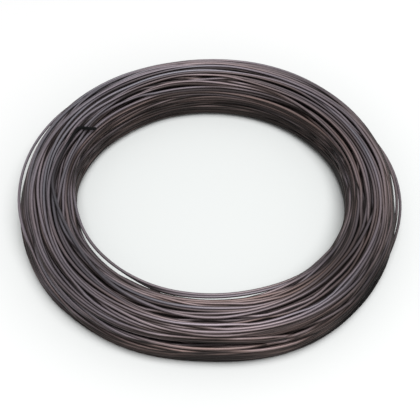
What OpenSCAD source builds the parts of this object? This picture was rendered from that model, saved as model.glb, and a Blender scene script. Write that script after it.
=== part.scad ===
// Coil of soft black annealed steel wire, lying flat.
// One continuous wire wound loosely into a ring. It is built as one turned
// solid with its bore. The turns show as round ridges on the crown, on the
// outer flank and on the underside; the wall of the bore is plain.
// Origin: centre of the bore, on the plane that the coil rests on. +Z is up.

/* [Wire] */
// Diameter of the wire
wire_d = 1.6; // [1.2:0.1:2.0]
// Gap between neighbouring turns on the surface
turn_gap = 0.08; // [0.04:0.02:0.2]

/* [Coil] */
// Outer diameter of the coil at its widest
coil_od = 226; // [200:1:260]
// Diameter of the open bore
bore_d = 158; // [130:1:162]
// Height of the coil from the floor to the top of its crown
coil_h = 29; // [24:0.5:34]

/* [Section] */
// Height of the widest place, as a share of the coil's height
waist = 0.42; // [0.35:0.01:0.5]
// Fullness of the crown: 2 is a plain ellipse, more is squarer
crown_full = 2.5; // [2.2:0.1:3.2]
// Fullness of the foot, below the widest place
foot_full = 5; // [4:0.5:8]
// Depth of the flats that the lowest turns have settled onto
settle = 0.1; // [0.05:0.01:0.2]

/* [Hidden] */
$fn = 48;

ri = bore_d / 2;
ro = coil_od / 2;
wr = wire_d / 2;
turn_pitch = wire_d + turn_gap;

// The section's middle radius, its half width and the height of its waist
rm = (ri + ro) / 2;
half_w = (ro - ri) / 2;
zw = coil_h * waist;

// The line on which the surface turns are centred lies one wire radius inside
// the section's outline
a = half_w - wr;
up = coil_h - wr - zw;
down = zw - wr + settle;

function spow(v, p) = sign(v) * pow(abs(v), p);

// A point of that line: t = 0 is the outer waist, 90 the crown, 180 the bore
// side and -90 the foot
function sec(t) =
    let (p = sin(t) >= 0 ? crown_full : foot_full)
    [rm + a * spow(cos(t), 2 / p),
     zw + (sin(t) >= 0 ? up : down) * spow(sin(t), 2 / p)];

// The line runs from the foot's outer corner over the crown to the place where
// the plain wall of the bore starts
t_foot = -60;
t_bore = 168;
steps = 240;
line_pts = [for (i = [0 : steps]) sec(t_foot + (t_bore - t_foot) * i / steps)];

// Running length along the line, so that the turns can be set a pitch apart
run = [for (i = 0, s = 0; i <= steps;
            s = s + (i < steps ? norm(line_pts[i + 1] - line_pts[i]) : 0), i = i + 1) s];
line_len = run[steps];
run_r = [for (i = [0 : steps]) [run[i], line_pts[i][0]]];
run_z = [for (i = [0 : steps]) [run[i], line_pts[i][1]]];

n_top = floor(line_len / turn_pitch);
top_turns = [for (i = [0 : n_top])
    let (s = line_len * i / n_top) [lookup(s, run_r), lookup(s, run_z)]];

// The lowest layer, side by side on the floor, cut flat where it has settled
foot_in = ri + wr;
foot_out = top_turns[0][0] - turn_pitch;
n_foot = round((foot_out - foot_in) / turn_pitch);
foot_z = wr - settle;
foot_turns = [for (i = [0 : n_foot])
    [foot_in + (foot_out - foot_in) * i / n_foot, foot_z]];

// The solid body of the winding fills the grooves between the turns up to a
// share of the wire's radius above the line of centres. Its bore side is the
// plain wall
fill = 0.45 * wr;
function out_of(i) =
    let (t = top_turns[min(i + 1, n_top)] - top_turns[max(i - 1, 0)])
    [t[1], -t[0]] / norm(t);
wall_top = top_turns[n_top][1];
module winding_section()
    polygon(concat(
        [[ri, foot_z - fill], [foot_out, foot_z - fill]],
        [for (i = [0 : n_top]) top_turns[i] + fill * out_of(i)],
        [[ri, wall_top]]));

module turn_section(c)
    translate(c) circle(r = wr);

module coil_section()
    intersection() {
        union() {
            winding_section();
            for (c = top_turns) turn_section(c);
            for (c = foot_turns) turn_section(c);
        }
        translate([ri, 0]) square([ro - ri + wire_d, coil_h + wire_d]);
    }

module wire_coil()
    color("#4e4a4b")
    rotate_extrude($fn = 180)
        coil_section();

wire_coil();
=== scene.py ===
# The visual model of a coil of soft annealed wire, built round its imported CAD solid.
# The whole wire is modelled: every turn has its own path, which is found by letting
# the turns push each other apart under a little weight, as in a real loose coil.
import math

import bpy
import numpy as np
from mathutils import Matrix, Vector


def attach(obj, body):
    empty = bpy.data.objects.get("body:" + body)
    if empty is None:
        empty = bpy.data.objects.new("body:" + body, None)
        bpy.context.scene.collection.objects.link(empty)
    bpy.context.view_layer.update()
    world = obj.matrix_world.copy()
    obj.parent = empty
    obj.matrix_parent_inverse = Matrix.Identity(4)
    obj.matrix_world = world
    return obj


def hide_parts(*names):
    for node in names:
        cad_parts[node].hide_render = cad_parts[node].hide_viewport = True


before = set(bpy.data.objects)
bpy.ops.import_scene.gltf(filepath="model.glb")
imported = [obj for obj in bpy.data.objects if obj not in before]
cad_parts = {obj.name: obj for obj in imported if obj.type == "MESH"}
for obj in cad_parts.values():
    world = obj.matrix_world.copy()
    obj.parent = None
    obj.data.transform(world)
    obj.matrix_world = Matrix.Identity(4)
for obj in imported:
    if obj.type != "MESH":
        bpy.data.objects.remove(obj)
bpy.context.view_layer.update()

# ---------------------------------------------------------------- sizes, in mm
D = 1.6  # wire diameter
N = 310  # turns
M = 120  # slices round the coil in the simulation
SEED = 11
RM, HALF, HEIGHT = 95.0, 16.3, 28.0
WAIST, P_TOP, P_FOOT = 0.42, 2.4, 4.5
START = 154.7  # angle of the wire's free end, degrees
ROLL, ROLL_AT = 0.8, (160, 258, 300, 410)  # how far the winding is rolled over at most, radians, and the angles it grows and fades between

# Turns that lie apart from the rest: angles in degrees, radii and heights in mm,
# how firmly the path is kept, and the angle over which it fades in and out.
GUIDES = [
    # the free end's first turn crosses the top at a shallow angle
    ([154.7, 160, 165, 171.5, 175, 181, 185, 189, 195, 206, 213, 219, 225, 232, 238, 243, 247, 252, 257, 262, 270, 280, 290, 300, 306, 311, 316, 325, 335, 350],
     [87.6, 87.6, 87.7, 88.3, 88.9, 90.2, 90.7, 90.2, 89.0, 88.3, 88.9, 89.8, 91.4, 93.2, 94.8, 96.0, 96.7, 97.7, 98.8, 99.7, 100.5, 99.8, 99.2, 98.4, 97.9, 97.1, 96.2, 95.6, 95.2, 95.6],
     [27.9, 27.9, 27.9, 27.9, 27.9, 27.9, 27.9, 27.9, 27.9, 27.9, 27.9, 27.9, 27.9, 27.9, 27.9, 27.9, 27.9, 27.8, 27.7, 27.6, 27.4, 27.4, 27.4, 27.3, 27.2, 27.1, 27.0, 27.0, 26.8, 26.0], 0.9, 22),
    # a loose loop outside the left flank
    ([138, 145, 152, 160, 166, 172, 178, 185, 190, 196, 203, 210], [108.5, 109.5, 110.0, 110.3, 110.5, 110.5, 110.5, 110.5, 110.5, 110.3, 109.7, 108.7],
     [19.0, 19.6, 20, 20, 20, 20, 20, 20, 19.8, 19.4, 18.6, 17.4], 0.9, 12),
    # two outside the right flank
    ([333, 338, 343, 347, 351, 356, 361.5, 368, 373, 380, 386], [109.4, 110.0, 110.5, 110.8, 111.1, 111.4, 111.4, 111.2, 110.8, 110.2, 109.3],
     [12.5, 12.2, 12, 12, 12, 12, 12, 12, 12.2, 12.5, 13], 0.9, 6),
    ([336, 344, 350, 355, 361, 367.5, 373, 379, 386, 392], [108.4, 108.6, 108.9, 109.3, 109.6, 109.6, 109.3, 108.8, 107.9, 106.8],
     [13.5, 13, 13, 13, 13, 13, 13.2, 13.6, 14.2, 14.8], 0.9, 8),
    # two inside the front left
    ([172, 180, 188, 195, 203, 209, 215, 220, 227, 234, 241, 246.5, 253, 261, 270, 281, 290, 300, 312], [80.4, 79.6, 79.0, 78.8, 79.2, 79.6, 79.9, 80.0, 80.1, 80.3, 80.5, 80.7, 80.8, 80.7, 80.8, 81.1, 81.7, 82.7, 84.2],
     [18, 18.6, 19.4, 20, 20, 20, 20, 20, 20, 20, 20, 20, 20, 20, 20, 20, 20, 19.8, 19.4], 0.9, 16),
    ([178, 188, 195, 205, 213, 222, 229, 236, 242, 246, 250, 254, 258, 263, 270, 281, 290, 300, 312], [79.6, 78.9, 78.7, 79.1, 79.3, 79.4, 79.4, 79.7, 80.3, 81.1, 81.8, 82.2, 82.4, 82.4, 82.5, 82.8, 83.4, 84.4, 85.9], [16.8, 17.8, 18.3, 18.4, 18.5, 18.6, 18.6, 18.6, 18.4, 18.4, 18.6, 19.2, 19.8, 20.2, 20.3, 20.4, 20.5, 20.4, 20.4], 0.85, 16),
    # the lower lips of the groove along the front flank
    ([226, 238, 246, 254, 259, 265, 271, 277, 283, 289, 295, 302], [109.6, 109.9, 110.2, 110.4, 110.6, 110.8, 111.0, 111.2, 111.5, 111.9, 112.2, 112.2],
     [14.2, 14.7, 15.0, 15.3, 15.0, 15.1, 15.2, 15.1, 14.8, 14.4, 14.0, 13.6], 0.6, 9),
    ([236, 246, 254, 262, 267, 271, 277, 283, 289, 295], [110.3, 110.7, 111.1, 111.5, 111.6, 111.7, 111.9, 112.2, 112.5, 112.7],
     [11.9, 12.4, 12.7, 12.6, 12.5, 12.4, 12.2, 11.9, 11.5, 11.0], 0.8, 9),
    # the outer edge's own at the front right, over the strand that dives under it
    ([296, 302, 306, 311, 316, 322, 327, 332, 338, 346], [111.4, 111.3, 111.0, 110.6, 109.7, 108.0, 107.0, 106.9, 106.8, 106.4],
     [12.5, 13.2, 14.6, 16.8, 19.4, 21.2, 22.0, 22.0, 21.8, 21.4], 0.7, 6),
]
# Open grooves between the turns on the top: angles, radii and width. Where heights are given
# too, it is the deep groove on the front flank, or the open space beside the inner loops.
GROOVES = [
    ([196, 205, 213, 228, 238, 246, 254, 262, 272, 282, 290, 298], [79.9, 81.1, 82.0, 82.4, 82.9, 83.6, 84.1, 84.5, 84.5, 84.6, 85.0, 85.8], 1.35, [20, 20, 20, 20, 20, 20, 20, 20, 20, 20, 20, 20]),
    ([205, 213, 228, 238, 246, 254, 262, 272, 282, 290, 298], [80.3, 81.3, 81.6, 82.0, 82.6, 83.1, 83.4, 83.6, 83.6, 84.0, 84.8], 1.1, [18.9, 18.8, 18.9, 18.9, 18.9, 18.9, 18.9, 18.9, 18.9, 18.9, 19]),
    ([205, 213, 228, 238, 246, 254, 262, 272, 282, 290, 298], [81.7, 82.6, 83.2, 83.8, 84.6, 85.1, 85.5, 85.7, 85.7, 86.1, 86.9], 1.35, [21.2] * 11),
    ([203, 210, 215, 222, 230], [106.5, 108.4, 108.8, 108.9, 109.0], 1.2, None),
    ([226, 236, 246, 254, 259, 265, 270, 275.5, 281.5, 289, 295, 300], [109.2, 109.3, 109.5, 109.6, 109.8, 109.9, 110.1, 110.3, 110.6, 111.1, 111.6, 111.9], 3.1,
     [16.5, 17, 17.4, 17.5, 17.4, 17.5, 17.5, 17.5, 17.3, 17.0, 16.8, 16.6]),
    ([272, 279, 290, 300, 305, 310, 315, 321], [108.6, 108.2, 106.5, 105.1, 104.7, 104.9, 105.9, 107.7], 1.3, None),
    ([207, 215, 225, 230, 240, 250], [102.6, 104.7, 105.6, 105.5, 105.3, 105.2], 1.2, None),
    ([215, 219, 225, 230, 240, 248], [99.3, 99.7, 100.1, 100.7, 101.7, 102.0], 1.1, None),
    ([222, 225, 230, 235, 242, 249, 254.5, 260, 270, 280, 290, 305, 310, 315, 325, 334], [92.8, 93.6, 95.0, 96.1, 98.0, 99.9, 100.9, 101.6, 102.1, 101.4, 101.0, 99.8, 98.6, 97.3, 96.9, 96.2], 1.5, None),
    ([247, 253, 260, 268], [96.9, 97.2, 97.2, 97.3], 1.0, None),
    ([205, 218, 230, 240, 250], [85.4, 86.3, 87.6, 89.2, 89.9], 1.0, None),
    ([266, 275, 285, 290, 295, 300, 305, 315, 320, 328], [104.4, 104.6, 104.2, 103.2, 102.2, 101.3, 101.1, 101.3, 100.9, 100.4], 1.4, None),
    ([275, 280, 290, 300, 309], [95.7, 95.5, 94.7, 93.4, 92.4], 1.1, None),
    ([265, 270, 280, 290, 300, 310, 316], [92.4, 92.6, 93.0, 92.6, 91.3, 90.9, 90.4], 1.1, None),
    ([326, 330, 339, 350, 355, 360, 366, 372, 378, 386, 395, 405, 417], [92.1, 91.7, 90.5, 88.8, 88.0, 87.2, 86.6, 86.2, 85.8, 85.0, 84.8, 84.5, 84.0], 1.5, None),
    ([356, 360, 370, 380, 395, 405, 415], [84.9, 84.3, 83.4, 82.8, 82.1, 81.4, 81.0], 1.2, None),
    ([356, 360, 365, 370, 380, 390, 397], [99.4, 98.8, 97.8, 97.0, 95.9, 95.5, 95.3], 1.3, None),
    ([36, 40, 50, 60, 70, 80, 88], [89.0, 89.0, 89.2, 88.4, 88.2, 88.2, 88.2], 1.2, None),
    ([60, 66, 74, 82, 92], [93.3, 92.4, 91.8, 91.7, 92.2], 1.2, None),
    ([82, 90, 100, 110, 120, 129], [86.2, 86.1, 86.1, 86.5, 85.5, 85.3], 1.4, None),
    ([84, 90, 110, 127, 140, 147], [82.6, 82.6, 82.8, 82.4, 83.2, 83.5], 1.3, None),
    ([106, 110, 115, 125, 130, 136, 146, 152], [93.2, 93.0, 92.4, 91.7, 92.6, 93.6, 93.5, 93.9], 1.4, None),
    ([148, 154, 163, 172, 180], [96.2, 96.7, 97.0, 97.4, 98.2], 1.2, None),
    ([158, 165, 171, 177, 184, 190, 196, 203, 213], [85.9, 86.1, 86.8, 87.8, 88.8, 88.5, 87.4, 86.7, 86.9], 1.25, None),
    ([188, 192, 196, 201, 206], [91.8, 92.0, 92.3, 93.0, 94.6], 1.3, None),
]


def bump(a, centre, half):
    """1 at an angle, falling smoothly to 0 within half degrees of it."""
    d = (a - centre + 180) % 360 - 180
    return np.where(np.abs(d) < half, np.cos(d / half * np.pi / 2) ** 2, 0.0)


def plateau(a, a0, a1, fade):
    """1 between two angles, falling smoothly to 0 within fade degrees outside them."""
    d = np.abs((a - (a0 + a1) / 2 + 180) % 360 - 180) - (a1 - a0) / 2
    t = np.clip(1 - d / fade, 0, 1)
    return t * t * (3 - 2 * t)


# ---------------------------------------------------------------- camera first
def make_camera():
    elev = math.radians(47.8)
    dist = 4.9 * 0.1112
    back = Vector((0, -math.cos(elev), math.sin(elev)))
    centre = Vector((0, 0, 0.0142))
    cam = bpy.data.cameras.new("camera")
    ob = bpy.data.objects.new("camera", cam)
    bpy.context.scene.collection.objects.link(ob)
    ob.location = centre + back * dist
    ob.rotation_mode = "QUATERNION"
    ob.rotation_quaternion = (-back).to_track_quat("-Z", "Y")
    cam.sensor_width = 36
    # the coil's outer radius, 111.2 mm, spans 189 of the frame's 420 pixels
    cam.lens = 36 * (189.0 / 420.0) * dist / 0.1112
    cam.shift_x = 0.0
    cam.shift_y = (188.2 - 210.0) / 420.0
    cam.clip_start, cam.clip_end = 0.01, 10
    bpy.context.scene.camera = ob


make_camera()


# ---------------------------------------------------------------- the winding
def smooth_random(rng, count, n_t, corr):
    """count random functions of the turn number, of unit variance, alike over corr turns."""
    pad = int(4 * corr) + 4
    x = rng.standard_normal((count, n_t + 2 * pad))
    k = np.arange(-pad + 1, pad)
    w = np.exp(-0.5 * (k / corr) ** 2)
    w /= np.sqrt((w**2).sum())
    return np.stack([np.convolve(r, w, "same") for r in x])[:, pad : pad + n_t]


FRAC = np.arange(M) / M
EASE = FRAC * FRAC * (3 - 2 * FRAC)
TH = math.radians(START) + np.arange(M) * 2 * np.pi / M
DEG = START + np.arange(M) * 360.0 / M


def strands(rng, sites, spacing):
    """Sorts the turns into strands, the small bundles that lie and shift together."""
    lo, hi = sites.min(0), sites.max(0)
    middles = []
    for _ in range(4000):
        p = lo + (hi - lo) * rng.random(2)
        if all((p[0] - q[0]) ** 2 + (p[1] - q[1]) ** 2 > spacing**2 for q in middles):
            middles.append(p)
    middles = np.array(middles)
    return ((sites[:, None] - middles[None]) ** 2).sum(2).argmin(1), len(middles)


def wander(rng, corr, orders, falloff, which=None, count=0):
    """A random function along the wire, [turn, slice], continuous from turn to turn.
    Turns of one strand share it where which gives each turn's strand."""
    if which is None:
        amps = smooth_random(rng, 2 * orders, N + 2, corr)
    else:
        amps = rng.standard_normal((2 * orders, count))[:, which]
    out, total = np.zeros((N, M)), 0.0
    for m in range(1, orders + 1):
        size = m**-falloff
        total += size**2
        for q, wave in ((0, np.cos(m * TH)), (1, np.sin(m * TH))):
            a = amps[2 * (m - 1) + q]
            out += size * (a[:N, None] * (1 - EASE) + a[1 : N + 1, None] * EASE) * wave
    return out / math.sqrt(total)


def ring_shape(th):
    """The section's middle radius and half width round the coil: the ring isn't quite round, mm."""
    c, s = np.cos, np.sin
    inner = 78.7 + 0.2 * c(th) - 0.2 * s(th) + 0.15 * c(2 * th) - 1.25 * s(2 * th) - 0.2 * c(3 * th) + 0.25 * s(3 * th)
    outer = 111.3 - 1.2 * c(th) + 0.1 * s(th) - 0.65 * c(2 * th) - 1.05 * s(2 * th) - 0.3 * c(3 * th) - 0.35 * s(3 * th)
    a = np.degrees(th)
    inner = inner - 1.2 * bump(a, 148, 34) + 0.8 * bump(a, 340, 28) + 0.8 * bump(a, 20, 28)
    inner = inner - 2.5 * bump(a, 100, 80) - 0.6 * bump(a, 30, 35) + 0.9 * bump(a, 314, 28) - 1.4 * bump(a, 128, 20)
    outer = outer - 0.4 * bump(a, 100, 28) - 1.3 * bump(a, 349, 20)
    outer = outer + 2.9 * bump(a, 295, 32) + 1.8 * bump(a, 236, 36) - 1.2 * bump(a, 165, 45) - 1.6 * bump(a, 98, 34) - 1.9 * bump(a, 104, 15) - 0.9 * bump(a, 150, 22) + 1.0 * bump(a, 250, 17) + 0.9 * bump(a, 218, 16)
    return (inner + outer) / 2, (outer - inner) / 2


def section_norm(r, z, rm, half, height):
    """Where a point lies in the section: 1 on its edge, less inside. Also the scaled coordinates."""
    zw = WAIST * height
    u = (r - rm) / (half - D / 2)
    above = z >= zw
    v = np.where(above, (z - zw) / (height - zw - D / 2), (z - zw) / (zw - D / 2))
    p = np.where(above, P_TOP, P_FOOT)
    return np.abs(u) ** p + np.abs(v) ** p, p, u, v


def winding_sites():
    """Where each turn starts: columns of constant radius, wound up and down in turn."""
    lo, hi = 0.9, 3.0
    for _ in range(40):
        s = (lo + hi) / 2
        cols = []
        for c in range(-40, 41):
            r = RM + c * s * 0.866
            z = np.arange(-2, 60) * s + (c % 2) * s / 2 + D / 2
            z = z[(section_norm(r, z, RM, HALF, HEIGHT)[0] <= 1) & (z >= D / 2)]
            if len(z):
                cols.append(
                    [(r, q) for q in (z if len(cols) % 2 == 0 else z[::-1])]
                )
        if sum(map(len, cols)) > N:
            lo = s
        else:
            hi = s
    sites = [p for c in cols[::-1] for p in c][: N - 1]
    while len(sites) < N - 1:
        sites.append((sites[-1][0], sites[-1][1] + 0.3))
    return np.array([(87.6, 27.9)] + sites + [(RM, D / 2)])


def rolled(P):
    """Rolls the winding in its section toward the front of the coil: turns from the top pass to
    the outer side there and back again. The roll keeps areas, so the packing stays even."""
    zw = WAIST * HEIGHT
    t = np.linspace(-np.pi, np.pi, 721)
    c, s = np.cos(t), np.sin(t)
    x, y = c * (HALF - D / 2), s * np.where(s >= 0, HEIGHT - zw - D / 2, zw - D / 2)
    p = np.where(s >= 0, P_TOP, P_FOOT)
    k = (np.abs(c) ** p + np.abs(s) ** p) ** (-1 / p)
    x, y = x * k, y * k
    around = np.unwrap(np.arctan2(y, x))
    area = np.concatenate([[0], np.cumsum(np.abs(x[:-1] * y[1:] - x[1:] * y[:-1]))])
    area /= area[-1]
    reach = np.hypot(x, y)
    px, py = P[..., 0] - RM, P[..., 1] - zw
    a = np.arctan2(py, px)
    depth = np.hypot(px, py) / np.interp(a, around, reach)
    on = [np.clip((x - x0) / (x1 - x0), 0, 1) for x, x0, x1 in ((ROLL_AT[0] + (DEG - ROLL_AT[0]) % 360, *ROLL_AT[:2]), (ROLL_AT[0] + (DEG - ROLL_AT[0]) % 360, *ROLL_AT[2:]))]
    on = on[0] ** 2 * (3 - 2 * on[0]) - on[1] ** 2 * (3 - 2 * on[1])
    share = np.interp(a, around, area) - ROLL / (2 * np.pi) * on[None, :]
    a = np.interp(share % 1.0, area, around)
    r = depth * np.interp(a, around, reach)
    return np.stack([RM + r * np.cos(a), zw + r * np.sin(a)], -1)


def crown(r):
    """The height of the section's top at a radius."""
    u = min(abs(r - RM) / (HALF - D / 2), 0.999)
    zw = WAIST * HEIGHT
    return zw + (1 - u**P_TOP) ** (1 / P_TOP) * (HEIGHT - zw - D / 2)


def groove_slots():
    """The grooves in each slice: [slice, groove] of radius, height and width. Each goes down into the winding, leaning to the front."""
    per = [[] for _ in range(M)]
    for ang, rad, wide, hgt in GROOVES:
        for j in range(int(math.ceil((ang[0] - START) / 360 * M)), int((ang[-1] - START) / 360 * M) + 1):
            a = START + j * 360.0 / M
            end = min(1.0, (a - ang[0]) / 11, (ang[-1] - a) / 11)
            r = np.interp(a, ang, rad)
            z = crown(r) if hgt is None else np.interp(a, ang, hgt)
            inward, down = (-0.5, -0.6) if hgt and wide < 2 else (0.95 * math.sin(math.radians(a)), -1.1)
            if end > 0:
                per[j % M] += [(r + k * inward, z + 0.2 + k * down, (1 - (0.1 if wide > 2 else 0.2) * k) * wide * end) for k in range(4 if wide > 2 else 3)]
    slots = np.zeros((M, max(map(len, per)), 3))
    for j, p in enumerate(per):
        if p:
            slots[j, : len(p)] = p
    return slots


KERNEL = np.exp(-0.5 * (np.arange(-8, 9) / 2.5) ** 2)
KERNEL /= KERNEL.sum()


def eased(Q):
    """The wire is stiff, so it loses its short waves. Done twice with the second pass added back, long waves keep their size."""
    padded = np.concatenate([np.repeat(Q[:1], 8, 0), Q, np.repeat(Q[-1:], 8, 0)])
    once = np.stack([np.convolve(padded[:, k], KERNEL, "valid") for k in (0, 1)], 1)
    padded = np.concatenate([np.repeat(once[:1], 8, 0), once, np.repeat(once[-1:], 8, 0)])
    twice = np.stack([np.convolve(padded[:, k], KERNEL, "valid") for k in (0, 1)], 1)
    return 0.5 * Q + 0.5 * (2 * once - twice)


def relax(grow=280, settle=160):
    rng = np.random.default_rng(SEED)
    sites = winding_sites()
    P = sites[:N, None] * (1 - EASE)[None, :, None] + sites[1:, None] * EASE[None, :, None]
    P = rolled(P)
    ring_rm, ring_half = ring_shape(TH)
    P[:, :, 0] = ring_rm + (P[:, :, 0] - RM) * (ring_half / HALF)
    which, count = strands(rng, sites, 3.4)
    P[1:-1, :, 0] += (1.7 * wander(rng, 0, 3, 0.8, which, count) + 0.25 * wander(rng, 0.8, 3, 0.8))[1:-1]
    P[1:-1, :, 1] += (1.0 * wander(rng, 0, 3, 0.8, which, count) + 0.2 * wander(rng, 0.8, 3, 0.8))[1:-1]
    own = (1 + 0.07 * wander(rng, 0, 3, 0.5, which, count) + 0.02 * wander(rng, 0.8, 3, 0.6)).reshape(-1)
    n = N * M
    Q = P.reshape(n, 2).copy()
    rm, half, height = np.tile(ring_rm, N), np.tile(ring_half, N), np.full(n, HEIGHT)

    # the guided turns
    pull, aim, used = np.zeros(n), np.zeros((n, 2)), set()
    for g, (ang, rad, hgt, firm, fade) in enumerate(GUIDES):
        mid = (ang[0] + ang[-1]) / 2 if g else START + 1
        off = mid - START
        j = int(round(off / 360 * M)) % M
        want = np.array([np.interp(mid, ang, rad), np.interp(mid, ang, hgt)])
        order = np.argsort(((P[:, j] - want) ** 2).sum(1)) if g else [0]
        k = next(int(t) for t in order if (g == 0 or 2 <= t < N - 2) and t not in used)
        used.add(k)
        lo = max(int(math.ceil((ang[0] - START) / 360 * M + k * M - (M if off >= 360 else 0))), 0)
        hi = int(math.floor((ang[-1] - START) / 360 * M + k * M - (M if off >= 360 else 0)))
        i = np.arange(lo, hi + 1)
        a = START + (i - k * M + (M if off >= 360 else 0)) * 360.0 / M
        w = np.clip(np.minimum((a - ang[0]) / fade if g else 1.0, (ang[-1] - a) / fade), 0, 1)
        w = w * w * (3 - 2 * w)
        pull[i] = firm * w
        aim[i, 0], aim[i, 1] = np.interp(a, ang, rad), np.interp(a, ang, hgt)
    led = np.flatnonzero(pull > 0)
    free = 1 - np.clip(pull / 0.5, 0, 1)
    deg = np.tile(DEG, N)
    # room that the bundle leaves beside the loose loops, above its waist
    room_in = np.interp(deg % 360, [196, 205, 213, 228, 246, 262, 272, 281, 290, 298, 306], [0, 2.2, 3.6, 4.5, 5.1, 5.3, 5.2, 4.8, 3.6, 1.9, 0])
    room_out = 3.0 * plateau(deg, 158, 200, 13)
    room_right = 1.6 * plateau(deg, 353, 379, 9)
    loose = (pull == 0).reshape(N, M)
    slots = groove_slots()
    first, second = np.triu_indices(N, 1)
    for it in range(grow + settle):
        d = D * min(1.0, 0.3 + 0.7 * it / grow)
        if it % 15 == 0:
            X = Q.reshape(N, M, 2).astype(np.float32)
            near_a, near_b = [], []
            for j in range(M):
                gap = X[first, j] - X[second, j]
                m = (gap**2).sum(1) < (d + 0.9) ** 2
                near_a.append(first[m] * M + j)
                near_b.append(second[m] * M + j)
            A, B = np.concatenate(near_a), np.concatenate(near_b)
        for _ in range(2 if it < grow else 4):
            gap = Q[A] - Q[B]
            dist = np.sqrt((gap**2).sum(1)) + 1e-9
            m = dist < d
            a, b = A[m], B[m]
            push = gap[m] * (0.5 * (d - dist[m]) / dist[m])[:, None]
            for k in (0, 1):
                Q[:, k] += 0.6 * (np.bincount(a, push[:, k], n) - np.bincount(b, push[:, k], n))
            Q[led] += pull[led, None] * (aim[led] - Q[led])
        X = Q.reshape(N, M, 2)
        for s in range(slots.shape[1]):
            gap = X - slots[None, :, s, :2]
            dist = np.sqrt((gap**2).sum(2)) + 1e-9
            want = (d + slots[None, :, s, 2]) / 2
            m = (dist < want) & loose & (slots[None, :, s, 2] > 0)
            X[m] += gap[m] * ((0.8 if it < grow + settle - 50 else 0.5) * (np.broadcast_to(want, m.shape)[m] - dist[m]) / dist[m])[:, None]
        bend = np.zeros_like(Q)
        bend[2:-2] = Q[:-4] - 4 * Q[1:-3] + 6 * Q[2:-2] - 4 * Q[3:-1] + Q[4:]
        Q -= 0.06 * bend
        if it % 10 == 9 or it > grow + settle - 50 and it % 4 == 0:
            Q = eased(Q)
        Q[:, 1] -= 0.004
        side = (Q[:, 0] - rm) / half
        shift = room_out * np.clip(side, 0, 1) * np.clip((Q[:, 1] - 9) / 8, 0, 1) + room_right * np.clip(side, 0, 1)
        shift -= room_in * np.clip(-1.6 * side, 0, 1) * np.clip((Q[:, 1] - 2) / 9, 0, 1)
        F, p, u, v = section_norm(Q[:, 0] + shift, Q[:, 1], rm, half, height)
        F = F / own
        out = F > 1
        k = 0.35 * (np.where(out, F, 1.0) ** (-1 / p) - 1) * out * free
        zw = WAIST * height
        Q[:, 0] += k * u * (half - D / 2)
        Q[:, 1] += k * v * np.where(v >= 0, height - zw - D / 2, zw - D / 2)
        np.maximum(Q[:, 1], D / 2, out=Q[:, 1])
    return Q.reshape(N, M, 2), pull.reshape(N, M)


def openness(Q):
    """In what share of directions a turn can be seen from outside its slice, [turn, slice]."""
    seen = np.zeros((N, M))
    ang = np.arange(20) * 2 * np.pi / 20
    ca, sa = np.cos(ang).astype(np.float32), np.sin(ang).astype(np.float32)
    for j in range(M):
        x = Q[:, j, 0].astype(np.float32)
        z = Q[:, j, 1].astype(np.float32)
        dx, dz = x[None, :] - x[:, None], z[None, :] - z[:, None]
        for c, s in zip(ca, sa):
            ahead = dx * c + dz * s
            side = np.abs(dx * s - dz * c)
            seen[:, j] += ~((side < 0.30 * D) & (ahead > 0.2)).any(1)
    return seen / len(ang)


def crevices(line, thick, sides, slices):
    """How far the gap to the nearest other turn has closed at each point round the wire, 0 to 1, [slice point, side]."""
    n = len(line)
    ph = (np.arange(sides) + 0.5) * 2 * np.pi / sides
    # the mesh's own directions round the wire: outward from the coil's axis, then up
    around = np.stack([np.cos(ph), np.sin(ph)], 1) * thick / 2
    out = np.zeros((n, sides))
    for j in range(slices):
        i = np.arange(j, n, slices)
        p = line[i]
        for s in range(sides):
            at = p + around[s]
            d = np.sqrt(((at[:, None] - p[None]) ** 2).sum(2))
            np.fill_diagonal(d, 9)
            out[i, s] = np.clip(1 - (d.min(1) - thick / 2) / 0.7, 0, 1)
    return out


# ---------------------------------------------------------------- tubes
UP = 1  # rings in the mesh for each slice of the simulation
ROUND = 10  # sides of a turn where it is seen


def spline_up(flat, factor):
    """A Catmull-Rom line through points a slice apart, with factor points for each."""
    n = len(flat)
    t = np.arange((n - 1) * factor + 1) / factor
    i = np.minimum(t.astype(int), n - 2)
    f = (t - i)[:, None]
    p0, p1, p2, p3 = (flat[np.clip(i + k, 0, n - 1)] for k in (-1, 0, 1, 2))
    return 0.5 * (
        2 * p1 + (p2 - p0) * f + (2 * p0 - 5 * p1 + 4 * p2 - p3) * f**2 + (3 * p1 - p0 - 3 * p2 + p3) * f**3
    )


def round_line(rz, turns):
    """Section coordinates in mm and turn numbers to points in metres."""
    th = turns * 2 * np.pi + math.radians(START)
    return np.stack([rz[:, 0] * np.cos(th), rz[:, 0] * np.sin(th), np.maximum(rz[:, 1], 0.52 * D)], 1) * 1e-3


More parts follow.
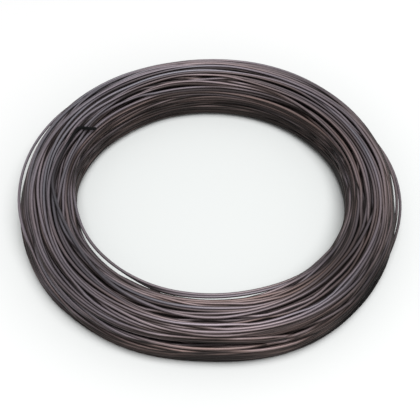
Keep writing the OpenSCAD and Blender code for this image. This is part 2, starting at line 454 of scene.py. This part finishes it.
class Tubes:
    """Gathers tubes along lines into one mesh, with what the material reads."""

    def __init__(self):
        self.co, self.faces, self.caps, self.local, self.tone, self.tint, self.crevice = [], [], [], [], [], [], []
        self.count, self.runs = 0, []

    def add(self, pts, sides, along, tone, tint, crevice):
        k = len(pts)
        tan = np.gradient(pts, axis=0)
        tan /= np.linalg.norm(tan, axis=1)[:, None]
        n2 = np.array([0, 0, 1.0]) - tan * tan[:, 2:3]
        n2 /= np.linalg.norm(n2, axis=1)[:, None]
        n1 = np.cross(n2, tan)
        # a polygon of the same area as the round wire
        radius = D / 2 * 1e-3 * math.sqrt(2 * math.pi / (sides * math.sin(2 * math.pi / sides)))
        radius = np.full(k, radius) * (1 + 0.12 * np.clip(2 - along / 0.012, 0, 1))
        ph = (np.arange(sides) + 0.5) * 2 * np.pi / sides
        ring = n1[:, None] * np.cos(ph)[None, :, None] + n2[:, None] * np.sin(ph)[None, :, None]
        self.co.append((pts[:, None] + ring * radius[:, None, None]).reshape(-1, 3))
        i = np.arange(k - 1)[:, None] * sides
        s = np.arange(sides)[None, :]
        q = np.stack([i + s, i + (s + 1) % sides, i + sides + (s + 1) % sides, i + sides + s], -1)
        self.faces.append(q.reshape(-1, 4)[:, ::-1] + self.count)
        self.caps.append(np.arange(sides) + self.count)
        self.caps.append(np.arange(sides)[::-1] + (k - 1) * sides + self.count)
        self.runs.append((sides, along * 1e3))
        self.count += k * sides
        local = np.zeros((k, sides, 3))
        local[:, :, 0] = along[:, None]
        local[:, :, 1], local[:, :, 2] = np.cos(ph), np.sin(ph)
        self.local.append(local.reshape(-1, 3))
        self.tone.append(np.repeat(tone, sides))
        self.tint.append(np.repeat(tint, sides))
        self.crevice.append(crevice.reshape(-1) if crevice.shape[1] == sides else np.ones(k * sides))

    def unrolled(self):
        """Texture coordinates for each corner: the turns unrolled into rows of strips, with little room for the
        hidden ones and the end faces in small cells, on a map of 1024 pixels."""
        size, edge, wide = 1024.0, 4.0, 1016.0
        total = {True: 0.0, False: 0.0}
        for sides, along in self.runs:
            total[sides == ROUND] += along[-1] - along[0]
        step = max(float(np.diff(along).max()) for _, along in self.runs)
        dull = 0.5  # pixels a millimetre on the hidden turns
        dull_rows = int(math.ceil((total[False] * dull + 3 * len(self.runs)) / (wide - step * dull - 2))) + 1
        cell_rows = int(math.ceil(2 * len(self.runs) / 200.0))
        left = size - 2 * edge - 6 * dull_rows - 5 * cell_rows
        for rows in range(1, 400):
            strip = left / rows - 2
            fine_ = strip / (math.pi * D)
            use = wide - step * fine_ - 2
            if use > 0 and total[True] * fine_ + 3 * len(self.runs) <= use * rows:
                break
        head = {True: [0.0, edge, left / rows, strip, fine_, use], False: [0.0, edge + left, 6.0, 4.0, dull, wide - step * dull - 2]}
        out = []
        for sides, along in self.runs:
            h = head[sides == ROUND]
            x = h[0] + (along - along[0]) * h[4]
            h[0] = x[-1] + 3
            row = np.floor(x[:-1] / h[5])
            u0, u1 = x[:-1] - row * h[5] + edge, x[1:] - row * h[5] + edge
            low = h[1] + row * h[2] + 1
            v = low[:, None] + np.arange(sides + 1)[None] * h[3] / sides
            uv = np.empty((len(u0), sides, 4, 2))
            uv[:, :, 0, 0] = uv[:, :, 1, 0] = u1[:, None]
            uv[:, :, 2, 0] = uv[:, :, 3, 0] = u0[:, None]
            uv[:, :, 0, 1] = uv[:, :, 3, 1] = v[:, :-1]
            uv[:, :, 1, 1] = uv[:, :, 2, 1] = v[:, 1:]
            out.append(uv.reshape(-1, 2))
        for n, cap in enumerate(self.caps):
            ph = np.arange(len(cap)) * 2 * np.pi / len(cap)
            middle = (edge + 2.5 + 5 * (n % 200), size - edge - 5 * cell_rows + 2.5 + 5 * (n // 200))
            out.append(np.stack([middle[0] + 1.8 * np.cos(ph), middle[1] + 1.8 * np.sin(ph)], 1))
        return np.concatenate(out) / size

    def object(self, name, material):
        co, quads = np.concatenate(self.co), np.concatenate(self.faces)
        mesh = bpy.data.meshes.new(name)
        sizes = np.concatenate([np.full(len(quads), 4), [len(c) for c in self.caps]]).astype(np.int32)
        index = np.concatenate([quads.reshape(-1)] + self.caps).astype(np.int32)
        mesh.vertices.add(len(co))
        mesh.vertices.foreach_set("co", co.astype(np.float32).ravel())
        mesh.loops.add(len(index))
        mesh.loops.foreach_set("vertex_index", index)
        mesh.polygons.add(len(sizes))
        mesh.polygons.foreach_set("loop_start", np.concatenate([[0], np.cumsum(sizes)[:-1]]).astype(np.int32))
        mesh.update(calc_edges=True)
        mesh.uv_layers.new(name="OFBake").uv.foreach_set("vector", self.unrolled().astype(np.float32).ravel())
        for key, kind, data in (("tone", "FLOAT", self.tone), ("tint", "FLOAT", self.tint), ("crevice", "FLOAT", self.crevice), ("local", "FLOAT_VECTOR", self.local)):
            at = mesh.attributes.new(key, kind, "POINT")
            at.data.foreach_set("vector" if kind == "FLOAT_VECTOR" else "value", np.concatenate(data).astype(np.float32).ravel())
        smooth = np.concatenate([np.ones(len(quads), bool), np.zeros(len(self.caps), bool)])
        mesh.polygons.foreach_set("use_smooth", smooth)
        mesh.materials.append(material)
        mesh.validate()
        ob = bpy.data.objects.new(name, mesh)
        bpy.context.scene.collection.objects.link(ob)
        return ob


# ---------------------------------------------------------------- materials
def annealed_steel():
    """Black annealed steel: a thin satin scale of blue-grey, violet and brown, with drawing lines."""
    mat = bpy.data.materials.new("annealed_steel")
    mat.use_nodes = True
    nt = mat.node_tree
    nodes, links = nt.nodes, nt.links
    bsdf = nodes["Principled BSDF"]
    bsdf.inputs["Metallic"].default_value = 0.72
    bsdf.inputs["Specular IOR Level"].default_value = 0.5

    def attribute(name):
        n = nodes.new("ShaderNodeAttribute")
        n.attribute_name = name
        return n

    def math_node(op, a, b=None, c=None, clamp=False):
        n = nodes.new("ShaderNodeMath")
        n.operation, n.use_clamp = op, clamp
        for i, x in enumerate((a, b, c)):
            if x is None:
                continue
            if isinstance(x, (int, float)):
                n.inputs[i].default_value = x
            else:
                links.new(x, n.inputs[i])
        return n.outputs[0]

    def noise(scale_vec, detail, rough=0.5):
        m = nodes.new("ShaderNodeMapping")
        m.inputs["Scale"].default_value = scale_vec
        links.new(local.outputs["Vector"], m.inputs["Vector"])
        n = nodes.new("ShaderNodeTexNoise")
        n.inputs["Scale"].default_value = 1.0
        n.inputs["Detail"].default_value = detail
        n.inputs["Roughness"].default_value = rough
        links.new(m.outputs["Vector"], n.inputs["Vector"])
        return n.outputs["Fac"]

    local, tone, tint, crevice = attribute("local"), attribute("tone"), attribute("tint"), attribute("crevice")
    patches = noise((55.0, 0.7, 0.7), 3.0, 0.55)  # scale patches, about 20 mm long
    mottle = noise((520.0, 1.6, 1.6), 3.0, 0.6)  # 2 mm mottling
    lines = noise((45.0, 5.0, 5.0), 2.0, 0.6)  # drawing lines along the wire
    grain = noise((2600.0, 3.2, 3.2), 2.0, 0.6)

    hue = math_node("ADD", tint.outputs["Fac"], math_node("MULTIPLY", math_node("SUBTRACT", patches, 0.5), 0.42))
    hue = math_node("ADD", hue, math_node("MULTIPLY", crevice.outputs["Fac"], 0.45), clamp=True)
    ramp = nodes.new("ShaderNodeValToRGB")
    el = ramp.color_ramp.elements
    el[0].position, el[0].color = 0.0, (0.090, 0.087, 0.099, 1)
    el[1].position, el[1].color = 1.0, (0.098, 0.068, 0.062, 1)
    for pos, col in ((0.35, (0.100, 0.085, 0.096, 1)), (0.62, (0.106, 0.084, 0.088, 1))):
        e = el.new(pos)
        e.color = col
    links.new(hue, ramp.inputs["Fac"])
    # how light: the turn's own tone, which also carries painted light and shade, scale patches, mottling and drawing
    # lines
    light = math_node("MULTIPLY_ADD", tone.outputs["Fac"], 1.25, 0.66)
    light = math_node("MULTIPLY", light, math_node("MULTIPLY_ADD", patches, 0.55, 0.72))
    light = math_node("MULTIPLY", light, math_node("MULTIPLY_ADD", mottle, 0.50, 0.75))
    light = math_node("MULTIPLY", light, math_node("MULTIPLY_ADD", lines, 0.36, 0.82))
    # painted shade: the wire is darkened where the gap to the nearest other turn closes, in the crevices between turns
    open_gap = math_node("POWER", math_node("SUBTRACT", 1.0, crevice.outputs["Fac"], clamp=True), 0.95)
    light = math_node("MULTIPLY", light, math_node("MULTIPLY_ADD", open_gap, 0.98, 0.06))
    scale = nodes.new("ShaderNodeVectorMath")
    scale.operation = "SCALE"
    links.new(ramp.outputs["Color"], scale.inputs[0])
    links.new(light, scale.inputs["Scale"])
    links.new(scale.outputs["Vector"], bsdf.inputs["Base Color"])

    rough = math_node("MULTIPLY_ADD", mottle, 0.22, 0.34)
    rough = math_node("ADD", rough, math_node("MULTIPLY", patches, 0.10))
    rough = math_node("ADD", rough, math_node("MULTIPLY", hue, 0.05))
    # where the tone is darkest it is dull too
    dull = math_node("MULTIPLY", math_node("SUBTRACT", 0.1, tone.outputs["Fac"], clamp=True), 0.7)
    rough = math_node("ADD", rough, dull)
    links.new(rough, bsdf.inputs["Roughness"])

    height = math_node("ADD", math_node("MULTIPLY", lines, 1.0), math_node("MULTIPLY", grain, 0.35))
    height = math_node("ADD", height, math_node("MULTIPLY", mottle, 0.5))
    bump = nodes.new("ShaderNodeBump")
    bump.inputs["Strength"].default_value = 0.5
    bump.inputs["Distance"].default_value = 0.00003
    links.new(height, bump.inputs["Height"])
    links.new(bump.outputs["Normal"], bsdf.inputs["Normal"])
    return mat


def plain(name, colour, rough):
    mat = bpy.data.materials.new(name)
    mat.use_nodes = True
    b = mat.node_tree.nodes["Principled BSDF"]
    b.inputs["Base Color"].default_value = (*colour, 1)
    b.inputs["Roughness"].default_value = rough
    return mat


# ---------------------------------------------------------------- build
Q, pull = relax()
path = Q.reshape(-1, 2)
opened = openness(Q).reshape(-1)
seen = opened > 0


def spans(mask):
    """Runs of equal values as (first, last + 1, value)."""
    edges = np.concatenate([[0], np.flatnonzero(np.diff(mask.astype(int))) + 1, [len(mask)]])
    return [(a, b, bool(mask[a])) for a, b in zip(edges[:-1], edges[1:])]


# a turn counts as seen a little past where it is, and over short hidden stretches
near = np.convolve(seen, np.ones(9), "same") > 0
for a, b, value in spans(near):
    if not value and b - a < 12:
        near[a:b] = True

steel = annealed_steel()
fine = spline_up(path, UP)
turns = np.arange(len(fine)) / (M * UP)
line = round_line(fine, turns)
along = np.concatenate([[0], np.cumsum(np.linalg.norm(np.diff(line, axis=0), axis=1))])

# the free end: a short bend across the turns beside it, laid on them
BEND = [(80.6, 150.2, 24.2), (80.4, 150.9, 24.9), (81.1, 151.8, 25.8), (82.3, 152.9, 26.7), (83.9, 153.7, 27.4), (85.8, 154.4, 27.9),
        (87.2, 155.1, 28.05), (87.6, 156.1, 28.05), (87.7, 157.3, 28.0)]
bend = np.array([(r * math.cos(math.radians(a)), r * math.sin(math.radians(a)), z) for r, a, z in BEND]) * 1e-3
joined = np.concatenate([bend, line[2:5]])
smooth_bend = spline_up(joined, 8)[: 8 * len(BEND) + 1]
line = np.concatenate([smooth_bend, line[3:]])
added = len(smooth_bend) - 3
fine = np.concatenate([np.stack([np.hypot(smooth_bend[:, 0], smooth_bend[:, 1]), smooth_bend[:, 2]], 1) * 1e3, fine[3:]])
turns = np.concatenate([np.zeros(added), turns])
along = np.concatenate([[0], np.cumsum(np.linalg.norm(np.diff(line, axis=0), axis=1))])

# the tone and tint of the wire change slowly along it, over a few turns, and a little within one
rng = np.random.default_rng(5)
knots = np.arange(0, N + 2, 0.25)
tone_knots = 0.5 + 0.12 * smooth_random(rng, 1, len(knots), 3.0)[0] + 0.09 * smooth_random(rng, 1, len(knots), 1.0)[0]
tint_knots = 0.45 + 0.10 * smooth_random(rng, 1, len(knots), 5.0)[0] + 0.08 * smooth_random(rng, 1, len(knots), 1.2)[0]
tone = np.interp(turns, knots, tone_knots)
where = np.degrees(turns * 2 * np.pi) + START
tint = np.interp(turns, knots, tint_knots) - 0.18 * bump(where, 205, 80) + 0.15 * bump(where, 288, 75)
# the scale formed on the whole coil in the furnace, so its colours also run across the turns in patches
for size_r, size_t in ((7.0, 60.0), (3.5, 30.0)):
    for _ in range(5):
        a, t = rng.uniform(0, 2 * np.pi), rng.integers(-1, 2)
        wave = np.cos(2 * np.pi * (fine[:, 0] * math.cos(a) + fine[:, 1] * math.sin(a)) / (2.2 * size_r) + np.radians(where) * round(95 * 2 * np.pi / size_t / 2.2 * rng.uniform(0.4, 1)) * t + rng.uniform(0, 6.3))
        tint += 0.045 * wave
        tone += 0.030 * wave * rng.choice([-1, 1])
# lower turns are browner, and on the inner side darker: painted shade low in the bore
low = np.clip((17 - fine[:, 1]) / 13, 0, 1)
outside = np.clip((fine[:, 0] - 93) / 8, 0, 1)
tint += (0.55 - 0.33 * outside) * low
tone += (0.30 * outside - 0.30) * low
# painted light and shade: the front is lightened as if lit from the front, the left and right sides and the back crown
# a little too; the front right and front left are darkened, and the low inner turns at the back are darkened as painted
# shade in the bore
tone += 0.30 * bump(where, 270, 50) * np.clip((fine[:, 0] - 84) / 5, 0, 1) + 0.24 * bump(where, 180, 60) + 0.20 * bump(where, 2, 50)
tone += 0.08 * bump(where, 90, 60) * np.clip((fine[:, 1] - 18) / 6, 0, 1) - 0.46 * bump(where, 320, 36) - 0.22 * bump(where, 228, 26)
tone -= 0.16 * bump(where, 95, 80) * np.clip((20 - fine[:, 1]) / 5, 0, 1) * (1 - outside)
tint -= 0.20 * bump(where, 142, 60) * np.clip((fine[:, 1] - 18) / 6, 0, 1)
# painted shade: the outer flank at the front right is darker and browner, low down
flank_shade = bump(where, 322, 42) * np.clip((fine[:, 0] - 100) / 6, 0, 1) * np.clip((21 - fine[:, 1]) / 8, 0, 1)
tone -= 0.42 * flank_shade
tint += 0.25 * flank_shade
# painted highlight: the two turns under the groove on the front flank are lightened, the lower one most
guided = np.interp(np.clip((np.arange(len(line)) - added) / UP, 0, len(path) - 1), np.arange(len(path)), pull.reshape(-1))
guided *= bump(where, 264, 42) * (fine[:, 0] > 109.5) * (fine[:, 1] < 17)
tone += (0.10 + 0.55 * (fine[:, 1] < 13.6)) * guided
# painted shade: the flank under them is darker and browner
under = bump(where, 290, 85) * np.clip((fine[:, 0] - 103) / 5, 0, 1) * np.clip((13 - fine[:, 1]) / 5, 0, 1) * (1 - np.clip(2 * guided, 0, 1))
tone -= 0.12 * under
tint += 0.12 * under
# painted shade: turns that lie deep between others are darkened
spot = np.clip((np.arange(len(line)) - added) / UP, 0, len(path) - 1)
opened = np.interp(spot, np.arange(len(path)), np.convolve(opened, np.hanning(9)[1:-1] / 4, "same"))
tone -= 0.58 * np.clip((0.24 - opened) / 0.16, 0, 1) * (np.arange(len(line)) > added + 3)
# the free end is darker: darkest over its last 30 mm, fading out by 100 mm
tone = np.clip(tone - 0.85 * np.clip(1.45 - along / 0.070, 0, 1) - 0.7 * np.clip(2 - along / 0.014, 0, 1), -0.5, 1.1)
tint = np.clip(tint, 0, 1)

base = crevices(path, D, ROUND, M)
crevice = np.zeros((len(line), ROUND))
for s in range(ROUND):
    crevice[:, s] = np.interp(spot, np.arange(len(path)), base[:, s])
crevice[: added + 3] = 0

PIECES = 10
share = math.ceil(N / PIECES)
for g in range(PIECES):
    tubes = Tubes()
    for a, b, shown in spans(near):
        a, b = max(a, g * share * M), min(b, (g + 1) * share * M, len(path))
        if a >= b:
            continue
        s, t = (a * UP + added if a else 0), min(b * UP + added + 1, len(line))
        i = np.unique(np.concatenate([np.arange(s, t, 1 if shown else 2), [t - 1]]))
        if len(i) >= 3:
            tubes.add(line[i], ROUND if shown else 4, along[i], tone[i], tint[i], crevice[i])
    piece = tubes.object("turns_%02d" % (g + 1), steel)
    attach(piece, "root")
    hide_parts("wire_coil")

# ---------------------------------------------------------------- floor and light
bpy.ops.mesh.primitive_plane_add(size=6, location=(0, 0, 0))
floor = bpy.context.object
floor.name = "floor"
table = plain("table", (0.5, 0.5, 0.5), 0.7)
# painted shade: the table is a little darker near the coil and lighter away from it
place = table.node_tree.nodes.new("ShaderNodeTexCoord")
across = table.node_tree.nodes.new("ShaderNodeVectorMath")
across.operation = "LENGTH"
away = table.node_tree.nodes.new("ShaderNodeMapRange")
away.interpolation_type = "SMOOTHSTEP"
away.inputs["From Min"].default_value, away.inputs["From Max"].default_value = 0.07, 0.20
shade = table.node_tree.nodes.new("ShaderNodeValToRGB")
shade.color_ramp.elements[0].color = (0.484, 0.497, 0.493, 1)
shade.color_ramp.elements[1].color = (0.560, 0.560, 0.560, 1)
for a, b in ((place.outputs["Object"], across.inputs[0]), (across.outputs["Value"], away.inputs["Value"]), (away.outputs["Result"], shade.inputs["Fac"]),
             (shade.outputs["Color"], table.node_tree.nodes["Principled BSDF"].inputs["Base Color"])):
    table.node_tree.links.new(a, b)
floor.data.materials.append(table)

world = bpy.data.worlds.new("world")
bpy.context.scene.world = world
world.use_nodes = True
world.node_tree.nodes["Background"].inputs["Color"].default_value = (1, 1, 1, 1)
world.node_tree.nodes["Background"].inputs["Strength"].default_value = 0.60


def area(name, loc, target, size, power, colour=(1, 1, 1)):
    light = bpy.data.lights.new(name, "AREA")
    light.shape, light.size, light.energy, light.color = "DISK", size, power, colour
    ob = bpy.data.objects.new(name, light)
    bpy.context.scene.collection.objects.link(ob)
    ob.location = loc
    ob.rotation_mode = "QUATERNION"
    ob.rotation_quaternion = (Vector(target) - Vector(loc)).to_track_quat("-Z", "Y")


area("key", (0.40, -0.75, 2.5), (0, 0, 0), 2.2, 110)

bpy.context.scene.view_settings.view_transform = "Standard"
